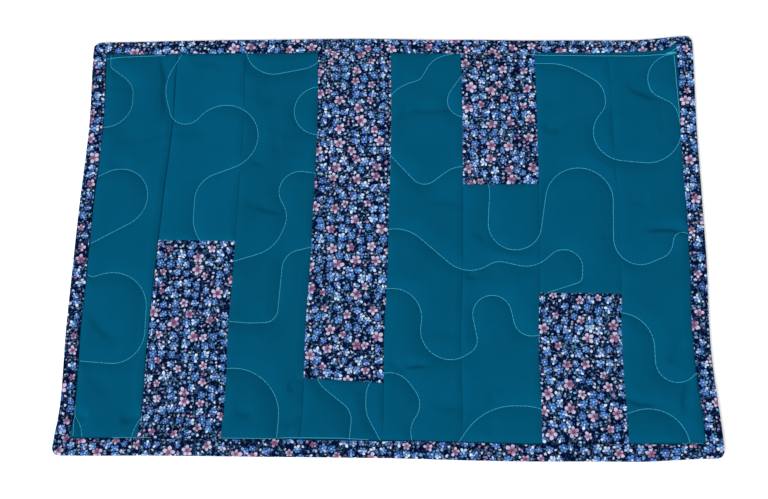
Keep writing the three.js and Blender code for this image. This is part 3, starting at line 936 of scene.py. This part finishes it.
def make_stitches(name, x, y, z, sizes, material):
    """Stitches as short arched lengths of thread, joined in one mesh."""
    x, y = lie(x, y)
    arch = np.where(STITCH_ARCH > 0, STITCH_ARCH * sizes.lift, STITCH_ARCH * sizes.sink)
    middle = np.stack([x, y, np.maximum(z + arch, sizes.thickness)], axis=-1)
    ahead = np.gradient(middle, axis=1)
    ahead /= np.linalg.norm(ahead, axis=-1, keepdims=True)
    aside = np.stack([ahead[..., 1], -ahead[..., 0], np.zeros_like(x)], axis=-1)
    aside /= np.linalg.norm(aside, axis=-1, keepdims=True)
    upward = np.cross(aside, ahead)
    turn = np.arange(STITCH_SIDES) * math.tau / STITCH_SIDES
    around = np.cos(turn)[:, None] * aside[..., None, :] + np.sin(turn)[:, None] * upward[..., None, :]
    points = middle[..., None, :] + sizes.thickness / 2 * around

    stitches, rings = x.shape
    side = np.arange(STITCH_SIDES)
    after = (side + 1) % STITCH_SIDES
    first = np.arange(stitches)[:, None, None] * rings * STITCH_SIDES
    ring = first + np.arange(rings - 1)[None, :, None] * STITCH_SIDES
    onward = ring + STITCH_SIDES
    quads = np.stack([ring + side, onward + side, onward + after, ring + after], axis=-1)
    starts = first[:, 0] + side
    ends = first[:, 0] + (rings - 1) * STITCH_SIDES + side[::-1]
    faces = quads.reshape(-1, 4).tolist() + starts.tolist() + ends.tolist()

    along = np.linalg.norm(np.diff(middle, axis=1), axis=-1)
    along = np.concatenate([np.zeros((stitches, 1)), np.cumsum(along, axis=1)], axis=1)
    along = np.broadcast_to(along[..., None], points.shape[:-1])
    around_thread = np.broadcast_to(turn * sizes.thickness / 2, points.shape[:-1])
    cloth = np.stack([along, around_thread, np.zeros_like(along)], axis=-1)
    piece = cloth_piece(name, points, faces, cloth, material)
    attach(piece, BODY)
    return piece


def top_stitch_line(side, rows):
    """Points along one run of the top stitch."""
    along = np.arange(rows[0].along, rows[-1].along, 1) * MM
    return np.stack(side_point(side, along, BINDING_FACE[side] + eased(rows, along)), axis=1)


def joined(runs):
    """X and Y of the stitches of several lines."""
    return [np.concatenate(values) for values in zip(*runs)]


# Materials


class Wires:
    """Adds and joins the nodes of one material."""

    def __init__(self, name):
        self.material = bpy.data.materials.new(name)
        self.material.use_nodes = True
        self.tree = self.material.node_tree
        self.tree.nodes.clear()

    def feed(self, socket, value):
        """Joins a socket to another node's, or sets it."""
        if isinstance(value, bpy.types.NodeSocket):
            self.tree.links.new(value, socket)
        elif socket.type == "RGBA":
            socket.default_value = (*value, 1)
        else:
            socket.default_value = value

    def add(self, kind, inputs, **settings):
        node = self.tree.nodes.new(kind)
        for key, value in settings.items():
            setattr(node, key, value)
        for key, value in inputs.items():
            self.feed(node.inputs[key], value)
        return node

    def math(self, operation, *values):
        node = self.add("ShaderNodeMath", dict(enumerate(values)), operation=operation)
        return node.outputs[0]

    def plus(self, a, b):
        return self.math("ADD", a, b)

    def minus(self, a, b):
        return self.math("SUBTRACT", a, b)

    def times(self, a, b):
        return self.math("MULTIPLY", a, b)

    def scaled(self, value, scale, shift):
        return self.math("MULTIPLY_ADD", value, scale, shift)

    def vector(self, operation, *values):
        node = self.add("ShaderNodeVectorMath", dict(enumerate(values)), operation=operation)
        return node.outputs["Value" if operation == "LENGTH" else "Vector"]

    def parts(self, vector):
        return self.add("ShaderNodeSeparateXYZ", {"Vector": vector}).outputs

    def mix(self, share, a, b):
        """Colour a where the share is 0 and colour b where it is 1."""
        node = self.add("ShaderNodeMix", {0: share}, data_type="RGBA")
        self.feed(node.inputs[6], a)
        self.feed(node.inputs[7], b)
        return node.outputs[2]

    def ease(self, value, low, high, start=0.0, end=1.0):
        """Soft step from start to end as the value goes from low to high."""
        inputs = {"Value": value, "From Min": low, "From Max": high, "To Min": start, "To Max": end}
        return self.add("ShaderNodeMapRange", inputs, interpolation_type="SMOOTHSTEP").outputs["Result"]

    def ramp(self, value, stops, interpolation="LINEAR"):
        """Colour along a ramp of place and colour."""
        node = self.add("ShaderNodeValToRGB", {"Fac": value})
        node.color_ramp.interpolation = interpolation
        elements = node.color_ramp.elements
        while len(elements) < len(stops):
            elements.new(0.5)
        for element, (place, tint) in zip(elements, stops):
            element.position = place
            element.color = (*tint, 1)
        return node.outputs["Color"]

    def noise(self, vector, size, detail=2.0):
        inputs = {"Vector": vector, "Scale": 1 / size, "Detail": detail}
        return self.add("ShaderNodeTexNoise", inputs, noise_dimensions="2D").outputs["Fac"]

    def surface(self, **inputs):
        """The finished shader, with sockets named by words joined with an underscore."""
        sockets = {key.replace("_", " "): value for key, value in inputs.items()}
        shader = self.add("ShaderNodeBsdfPrincipled", sockets)
        self.add("ShaderNodeOutputMaterial", {"Surface": shader.outputs["BSDF"]})
        return self.material

    def cloth(self):
        return self.add("ShaderNodeAttribute", {}, attribute_name="cloth").outputs["Vector"]


def weave(w, cloth, pitch):
    """Height of a plain weave's threads, and the uneven tone of its yarns, both from 0 to 1."""
    x, y, _ = w.parts(cloth)
    warp = w.math("SINE", w.times(x, math.pi / pitch))
    weft = w.math("SINE", w.times(y, math.pi / pitch))
    height = w.math("ABSOLUTE", w.times(warp, weft))
    slub_lengths = ((40, 1.3), (1.3, 40))
    yarns = [
        w.noise(w.vector("DIVIDE", cloth, (long, wide, 1)), pitch, detail=1.0)
        for long, wide in slub_lengths
    ]
    return height, w.times(w.plus(*yarns), 0.5)


def woven_normal(w, height, pitch, strength):
    inputs = {"Height": height, "Strength": strength, "Distance": pitch / 2}
    return w.add("ShaderNodeBump", inputs).outputs["Normal"]


# Finish of both cottons
MATT_COTTON = {"Roughness": 0.92, "Specular_IOR_Level": 0.02, "Sheen_Roughness": 0.5}


def plain_cotton(colours, sizes):
    """Plain teal cotton, with uneven yarns, a slow mottle and painted shade in the weave's gaps."""
    w = Wires("plain_weave")
    cloth = w.cloth()
    height, yarn = weave(w, cloth, sizes.thread_pitch)
    mottle = w.noise(cloth, 28 * MM, detail=3.0)
    tone = w.plus(w.times(mottle, 0.5), w.times(yarn, 0.5))
    # Each patch's tone, kept in the cloth coordinate's Z, is painted light and shade for how its grain
    # catches the light
    tone = w.plus(w.ease(tone, 0.3, 0.7, 0.0, 0.4), w.times(w.parts(cloth)[2], 0.5))
    # Painted shade: the weave's gaps come out darker and its raised threads lighter
    tone = w.plus(tone, w.times(height, 0.06))
    return w.surface(
        Base_Color=w.mix(tone, colours.plain_shade, colours.plain),
        Normal=woven_normal(w, height, sizes.thread_pitch, 0.25),
        Sheen_Weight=0.06, Sheen_Tint=colours.plain, **MATT_COTTON,
    )


Sprigs = namedtuple("Sprigs", "offset middle border chances")
Flower = namedtuple("Flower", "reach petal chance")


# Shift of each layer of leaves across the cloth, in metres
LEAF_SLIDES = (1.27, 2.63)

# A petal's length, as a share of the flower's outline: the least, and how much longer some are
PETAL_LEAST = 0.77
PETAL_SPREAD = 0.4


def scattered(w, cloth, spacing, jitter, slide):
    """Cells of scattered sprigs: way from the middle, middle, way to the border, and three chances."""
    shifted = w.vector("ADD", cloth, (slide, -0.6 * slide, 0))
    inputs = {"Vector": shifted, "Scale": 1 / spacing, "Randomness": jitter}
    cells = w.add("ShaderNodeTexVoronoi", inputs, voronoi_dimensions="2D")
    edges = w.add("ShaderNodeTexVoronoi", inputs, voronoi_dimensions="2D", feature="DISTANCE_TO_EDGE")
    offset = w.vector("SUBTRACT", shifted, cells.outputs["Position"])
    middle = w.vector("SUBTRACT", cloth, offset)
    border = w.times(edges.outputs["Distance"], spacing)
    return Sprigs(offset, middle, border, w.parts(cells.outputs["Color"]))


def flower_radius(w, sprigs, radius, least, spread):
    """Radius of each flower, from a least share of the full radius up by a spread."""
    return w.scaled(sprigs.chances[0], radius * spread, radius * least)


def petals(w, sprigs, radius, count, notch):
    """A flower's reach, 0 at its heart and 1 at its outline, nearness to a petal's middle, and chance."""
    x, y, _ = w.parts(sprigs.offset)
    turn = w.times(sprigs.chances[1], math.tau)
    angle = w.plus(w.math("ARCTAN2", y, x), turn)
    petal = w.math("ABSOLUTE", w.math("COSINE", w.times(angle, count / 2)))
    number = w.math("FLOOR", w.scaled(angle, count / math.tau, 0.5))
    number = w.math("FLOORED_MODULO", number, count)
    key = w.add("ShaderNodeCombineXYZ", {"X": number, "Y": w.times(sprigs.chances[2], 97)})
    noise = w.add("ShaderNodeTexWhiteNoise", {"Vector": key.outputs["Vector"]}, noise_dimensions="2D")
    chance = noise.outputs["Value"]
    outline = w.times(radius, w.scaled(petal, notch, 1 - notch))
    outline = w.times(outline, w.scaled(chance, PETAL_SPREAD, PETAL_LEAST))
    reach = w.math("DIVIDE", w.vector("LENGTH", sprigs.offset), outline)
    return Flower(reach, petal, chance)


def hand_drawn(w, cloth, size, amount):
    """Flat cloth coordinates that wander a little, so that no two flowers are drawn alike."""
    inputs = {"Vector": cloth, "Scale": 1 / size, "Detail": 1.0}
    wander = w.add("ShaderNodeTexNoise", inputs, noise_dimensions="2D").outputs["Color"]
    moved = w.vector("MULTIPLY_ADD", wander, (amount, amount, 0), (-amount / 2, -amount / 2, 0))
    return w.vector("MULTIPLY_ADD", cloth, (1, 1, 0), moved)


def rose_sprigs(w, cloth, sizes):
    return scattered(w, cloth, sizes.rose_spacing, jitter=0.75, slide=0.31)


def blue_sprigs(w, cloth, sizes):
    return scattered(w, cloth, sizes.blue_spacing, jitter=0.55, slide=0.83)


def ground_with_stems(w, cloth, sizes, colours):
    """The dark ground with thin wandering stems."""
    stems = w.noise(cloth, sizes.stem_spacing, detail=1.0)
    away = w.math("ABSOLUTE", w.minus(stems, 0.5))
    return w.mix(w.ease(away, 0.004, 0.022, 0.55, 0.0), colours.ground, colours.stem)


def with_leaves(w, cloth, below, slide, sizes, colours):
    """One layer of scattered leaves, each turned its own way."""
    leaves = scattered(w, cloth, sizes.leaf_spacing, jitter=0.9, slide=slide)
    x, y, _ = w.parts(leaves.offset)
    turn = w.times(leaves.chances[0], math.tau)
    cosine, sine = w.math("COSINE", turn), w.math("SINE", turn)
    along = w.plus(w.times(x, cosine), w.times(y, sine))
    across = w.minus(w.times(y, cosine), w.times(x, sine))
    place = w.math("DIVIDE", along, sizes.leaf_length)
    taper = w.minus(1, w.times(place, place))
    half_width = w.times(taper, sizes.leaf_width)
    inside = w.minus(half_width, w.math("ABSOLUTE", across))
    leaf = w.ease(inside, -0.02 * MM, 0.12 * MM)
    grown = w.ease(leaves.chances[1], 0.4, 0.44)
    tint = w.mix(w.ease(leaves.chances[2], 0.2, 0.9), colours.leaf_dark, colours.leaf_pale)
    return w.mix(w.times(leaf, grown), below, tint)


def clear_of_roses(w, sprigs, sizes, room):
    """1 where a sprig's middle has room beside the pink flowers, else 0."""
    from_rose = w.vector("LENGTH", rose_sprigs(w, sprigs.middle, sizes).offset)
    return w.math("GREATER_THAN", from_rose, sizes.rose_radius + room)


def blue_grown(w, sprigs, sizes):
    return clear_of_roses(w, sprigs, sizes, sizes.blue_radius * 0.3)


def with_buds(w, cloth, below, sizes, colours):
    """Small pale buds, where no flower stands."""
    buds = scattered(w, cloth, sizes.bud_spacing, jitter=0.8, slide=2.11)
    nearest_blue = blue_sprigs(w, buds.middle, sizes)
    from_blue = w.vector("LENGTH", nearest_blue.offset)
    on_blue = w.math("LESS_THAN", from_blue, sizes.blue_radius * 1.05)
    on_blue = w.times(on_blue, blue_grown(w, nearest_blue, sizes))
    grown = w.times(clear_of_roses(w, buds, sizes, 0.0), w.minus(1.0, on_blue))
    grown = w.times(grown, w.math("LESS_THAN", buds.chances[0], 0.8))
    radius = w.scaled(buds.chances[1], sizes.bud_radius / 2, sizes.bud_radius * 0.65)
    bud = petals(w, buds, radius, count=3, notch=0.35)
    tint = w.ramp(
        buds.chances[2],
        [(0, colours.bud_white), (0.3, colours.bud_aqua), (0.8, colours.bud_pink)], "CONSTANT",
    )
    tint = w.mix(w.ease(bud.chance, 0.0, 0.7, 0.65, 0.0), tint, colours.leaf_dark)
    return w.mix(w.times(w.ease(bud.reach, 0.75, 1.05, 1.0, 0.0), grown), below, tint)


def with_flower(w, below, sprigs, flower, grown, tint, colours):
    """A flower over what is below it, with shaded ground showing round its petals."""
    ringed = w.ease(flower.reach, 1.1, 1.45, 1.0, 0.0)
    below = w.mix(w.times(ringed, grown), below, colours.shadow)
    covered = w.times(w.ease(flower.reach, 0.88, 1.04, 1.0, 0.0), grown)
    clear = w.ease(sprigs.border, 0.2 * MM, 0.5 * MM)
    return w.mix(w.times(covered, clear), below, tint)


def with_blue_flowers(w, cloth, below, sizes, colours):
    """Blue flowers of six narrow petals, some of them pale, where no pink flower stands."""
    sprigs = blue_sprigs(w, cloth, sizes)
    radius = flower_radius(w, sprigs, sizes.blue_radius, 0.78, 0.35)
    flower = petals(w, sprigs, radius, count=6, notch=0.42)
    tint = w.ramp(flower.chance, [
        (0, colours.blue_deep), (0.35, colours.blue), (0.65, colours.blue), (0.95, colours.blue_pale),
    ])
    tint = w.mix(w.ease(flower.reach, 0.7, 1.0, 0.0, 0.25), tint, colours.blue_pale)
    tint = w.mix(w.ease(flower.reach, 0.2, 0.6, 0.55, 0.0), tint, colours.blue_deep)
    tint = w.mix(w.ease(flower.petal, 0.15, 0.6, 0.85, 0.0), tint, colours.blue_shade)
    tint = w.mix(w.ease(flower.reach, 0.12, 0.24, 0.9, 0.0), tint, colours.blue_pale)
    return with_flower(w, below, sprigs, flower, blue_grown(w, sprigs, sizes), tint, colours)


def with_pink_flowers(w, cloth, below, sizes, colours):
    """Pink flowers of five petals with a dark heart and pale tips."""
    sprigs = rose_sprigs(w, cloth, sizes)
    radius = flower_radius(w, sprigs, sizes.rose_radius, 0.66, 0.42)
    flower = petals(w, sprigs, radius, count=5, notch=0.5)
    paler = w.scaled(sprigs.chances[2], 0.5, -0.15)
    tint = w.mix(w.plus(w.ease(flower.reach, 0.3, 1.0), paler), colours.rose, colours.rose_pale)
    lucky = w.ease(flower.chance, 0.5, 0.8, 0.0, 0.8)
    bright = w.times(lucky, w.ease(flower.reach, 0.3, 0.6))
    tint = w.mix(bright, tint, colours.rose_pale)
    tint = w.mix(w.ease(flower.chance, 0.1, 0.5, 0.9, 0.0), tint, colours.rose)
    tint = w.mix(w.ease(flower.petal, 0.15, 0.55, 0.9, 0.0), tint, colours.shadow)
    tint = w.mix(w.ease(flower.reach, 0.12, 0.32, 0.7, 0.0), tint, colours.rose_heart)
    return with_flower(w, below, sprigs, flower, 1.0, tint, colours)


def print_cotton(colours, sizes):
    """Dark cotton printed all over with small pink and blue flowers, buds and leaves."""
    w = Wires("print_weave")
    cloth = w.cloth()
    height, yarn = weave(w, cloth, sizes.thread_pitch)
    drawn = hand_drawn(w, cloth, 2 * MM, 0.9 * MM)
    printed = ground_with_stems(w, drawn, sizes, colours)
    for slide in LEAF_SLIDES:
        printed = with_leaves(w, drawn, printed, slide, sizes, colours)
    printed = with_buds(w, drawn, printed, sizes, colours)
    printed = with_blue_flowers(w, drawn, printed, sizes, colours)
    printed = with_pink_flowers(w, drawn, printed, sizes, colours)
    speckle = w.noise(cloth, 0.9 * MM, detail=1.0)
    tone = w.plus(w.ease(speckle, 0.3, 0.7, 0.72, 1.0), w.times(yarn, 0.12))
    # Painted shade: the print comes out darker in the weave's gaps
    tone = w.times(tone, w.scaled(height, 0.12, 0.9))
    return w.surface(
        Base_Color=w.vector("MULTIPLY", printed, tone),
        Normal=woven_normal(w, height, sizes.thread_pitch, 0.3),
        Sheen_Weight=0.05, Sheen_Tint=colours.blue_deep, **MATT_COTTON,
    )


def sewing_thread(colours, sizes):
    """Pale thread, with painted shade in the grooves of its twist."""
    w = Wires("sewing_thread")
    x, y, _ = w.parts(w.cloth())
    twist = w.plus(w.times(x, 2.2), y)
    groove = w.math("SINE", w.times(twist, math.tau * 2 / (math.pi * sizes.thickness)))
    share = w.ease(groove, -1.0, 0.4)
    bump = w.add("ShaderNodeBump", {"Height": share, "Strength": 0.5, "Distance": sizes.thickness / 6})
    return w.surface(
        # Painted shade: the grooves of the twist are darker than its crowns
        Base_Color=w.mix(share, colours.thread_shade, colours.thread),
        Normal=bump.outputs["Normal"],
        Roughness=0.6, Specular_IOR_Level=0.2,
        Sheen_Weight=0.1, Sheen_Roughness=0.4, Sheen_Tint=colours.thread,
    )


def floor_paper(stage):
    """Pale studio paper with a faint tooth."""
    w = Wires("floor_paper")
    place = w.add("ShaderNodeTexCoord", {}).outputs["Object"]
    tooth = w.noise(place, 2 * MM, detail=3.0)
    shade = tuple(0.97 * channel for channel in stage.floor)
    return w.surface(
        Base_Color=w.mix(tooth, shade, stage.floor), Roughness=0.9, Specular_IOR_Level=0.1,
        Emission_Color=stage.floor, Emission_Strength=stage.floor_glow,
    )


def material(name, maker, *settings):
    """A material by name, made the first time that it is asked for."""
    return bpy.data.materials.get(name) or maker(*settings)


def cotton(cloth, scene):
    maker = {"plain": plain_cotton, "print": print_cotton}[cloth]
    return material(f"{cloth}_weave", maker, scene.placemat_colours, scene.placemat_print)


def thread(scene):
    return material("sewing_thread", sewing_thread, scene.placemat_colours, scene.placemat_thread)


# Operators


def make_patches(scene, cloth):
    """All the patches of one cloth."""
    face = QuiltedFace(scene.placemat_quilt)
    parts = [(index, part) for index in range(len(COLUMNS)) for part in ("far", "near")]
    made = [
        make_patch(index, part, number, face, cotton(cloth, scene))
        for number, (index, part) in enumerate(parts) if getattr(COLUMNS[index], part) == cloth
    ]
    if not made:
        raise RuntimeError(f"the layout has no {cloth} patch")


class PLACEMAT_OT_stage(Operator):
    """Make the floor, the lights and the camera"""

    bl_idname = "placemat.stage"
    bl_label = "Stage"

    def execute(self, context):
        scene = context.scene
        stage = scene.placemat_stage
        half = FLOOR_WIDTH / 2
        mesh = bpy.data.meshes.new("floor")
        corners = [(-half, -half, 0), (half, -half, 0), (half, half, 0), (-half, half, 0)]
        mesh.from_pydata(corners, [], [(0, 1, 2, 3)])
        mesh.materials.append(floor_paper(stage))
        floor = bpy.data.objects.new("floor", mesh)
        floor.location.z = -FLOOR_DROP
        scene.collection.objects.link(floor)

        scene.world = bpy.data.worlds.new("soft_sky")
        scene.world.use_nodes = True
        sky = scene.world.node_tree.nodes["Background"]
        sky.inputs["Color"].default_value = (1, 1, 1, 1)
        sky.inputs["Strength"].default_value = stage.sky

        lamp = bpy.data.lights.new("key", "SUN")
        lamp.energy = stage.key
        lamp.angle = stage.key_spread
        key = bpy.data.objects.new("key", lamp)
        key.rotation_euler = stage.key_turn
        scene.collection.objects.link(key)

        view = bpy.data.cameras.new("camera")
        view.lens = stage.lens
        view.clip_start = NEAREST_SEEN
        camera = bpy.data.objects.new("camera", view)
        camera.location = stage.camera_place
        camera.rotation_euler = stage.camera_turn
        scene.collection.objects.link(camera)
        scene.camera = camera
        scene.view_settings.view_transform = "Standard"
        return {"FINISHED"}


class PLACEMAT_OT_plain_patches(Operator):
    """Make the plain teal patches"""

    bl_idname = "placemat.plain_patches"
    bl_label = "Plain Patches"

    def execute(self, context):
        make_patches(context.scene, "plain")
        return {"FINISHED"}


class PLACEMAT_OT_print_patches(Operator):
    """Make the flower print patches"""

    bl_idname = "placemat.print_patches"
    bl_label = "Print Patches"

    def execute(self, context):
        make_patches(context.scene, "print")
        return {"FINISHED"}


class PLACEMAT_OT_binding(Operator):
    """Make the four strips of the binding"""

    bl_idname = "placemat.binding"
    bl_label = "Binding"

    def execute(self, context):
        scene = context.scene
        for number, side in enumerate(BINDING_FACE, start=2 * len(COLUMNS)):
            make_binding(side, number, scene.placemat_binding, cotton("print", scene))
        return {"FINISHED"}


class PLACEMAT_OT_quilting(Operator):
    """Make the stitches of the free quilting lines"""

    bl_idname = "placemat.quilting"
    bl_label = "Quilting Stitches"

    def execute(self, context):
        scene = context.scene
        sizes = scene.placemat_thread
        face = QuiltedFace(scene.placemat_quilt)
        chance = np.random.RandomState(STITCH_SEED)
        x, y = joined(stitch_places(shown(path), sizes, chance) for path in face.lines)
        z = face.height(x, y) - np.where(lies_on_print(x, y), sizes.print_sink, 0)
        make_stitches("quilting_stitches", x, y, z, sizes, thread(scene))
        return {"FINISHED"}


class PLACEMAT_OT_top_stitch(Operator):
    """Make the top stitch along the binding, and the stitches that fasten it"""

    bl_idname = "placemat.top_stitch"
    bl_label = "Top Stitch"

    def execute(self, context):
        scene = context.scene
        sizes = scene.placemat_thread
        face = QuiltedFace(scene.placemat_quilt)
        chance = np.random.RandomState(STITCH_SEED)
        for side, runs in TOP_STITCH.items():
            x, y = joined(stitch_places(top_stitch_line(side, rows), sizes, chance) for rows in runs)
            z = face.height(x, y) - sizes.top_sink
            make_stitches(f"top_stitch_{side}", x, y, z, sizes, thread(scene))

        tack = np.array(BACK_TACK) * MM
        x, y = joined(stitch_places(tack[k:k + 2], sizes, chance) for k in range(len(tack) - 1))
        z = np.maximum(face.height(x, y), TONGUE_HIGH) + sizes.thickness / 2
        make_stitches("back_tack", x, y, z, sizes, thread(scene))
        return {"FINISHED"}


OPERATORS = [
    PLACEMAT_OT_stage,
    PLACEMAT_OT_plain_patches,
    PLACEMAT_OT_print_patches,
    PLACEMAT_OT_binding,
    PLACEMAT_OT_quilting,
    PLACEMAT_OT_top_stitch,
]


class PLACEMAT_PT_sidebar(Panel):
    """Lists the operators and the settings of the placemat"""

    bl_idname = "PLACEMAT_PT_sidebar"
    bl_label = "Quilted Placemat"
    bl_space_type = "VIEW_3D"
    bl_region_type = "UI"
    bl_category = "Placemat"

    def draw(self, context):
        for operator in OPERATORS:
            self.layout.operator(operator.bl_idname)
        for group in SETTINGS:
            settings = getattr(context.scene, group)
            box = self.layout.box()
            for name in settings.__annotations__:
                box.prop(settings, name)


CLASSES = [*SETTINGS.values(), *OPERATORS, PLACEMAT_PT_sidebar]


def register():
    for cls in CLASSES:
        bpy.utils.register_class(cls)
    for name, group in SETTINGS.items():
        setattr(bpy.types.Scene, name, PointerProperty(type=group))


def unregister():
    for name in SETTINGS:
        delattr(bpy.types.Scene, name)
    for cls in reversed(CLASSES):
        bpy.utils.unregister_class(cls)


def main():
    register()
    bpy.ops.placemat.stage()
    bpy.ops.placemat.plain_patches()
    bpy.ops.placemat.print_patches()
    bpy.ops.placemat.binding()
    bpy.ops.placemat.quilting()
    bpy.ops.placemat.top_stitch()


if __name__ == "__main__":
    main()
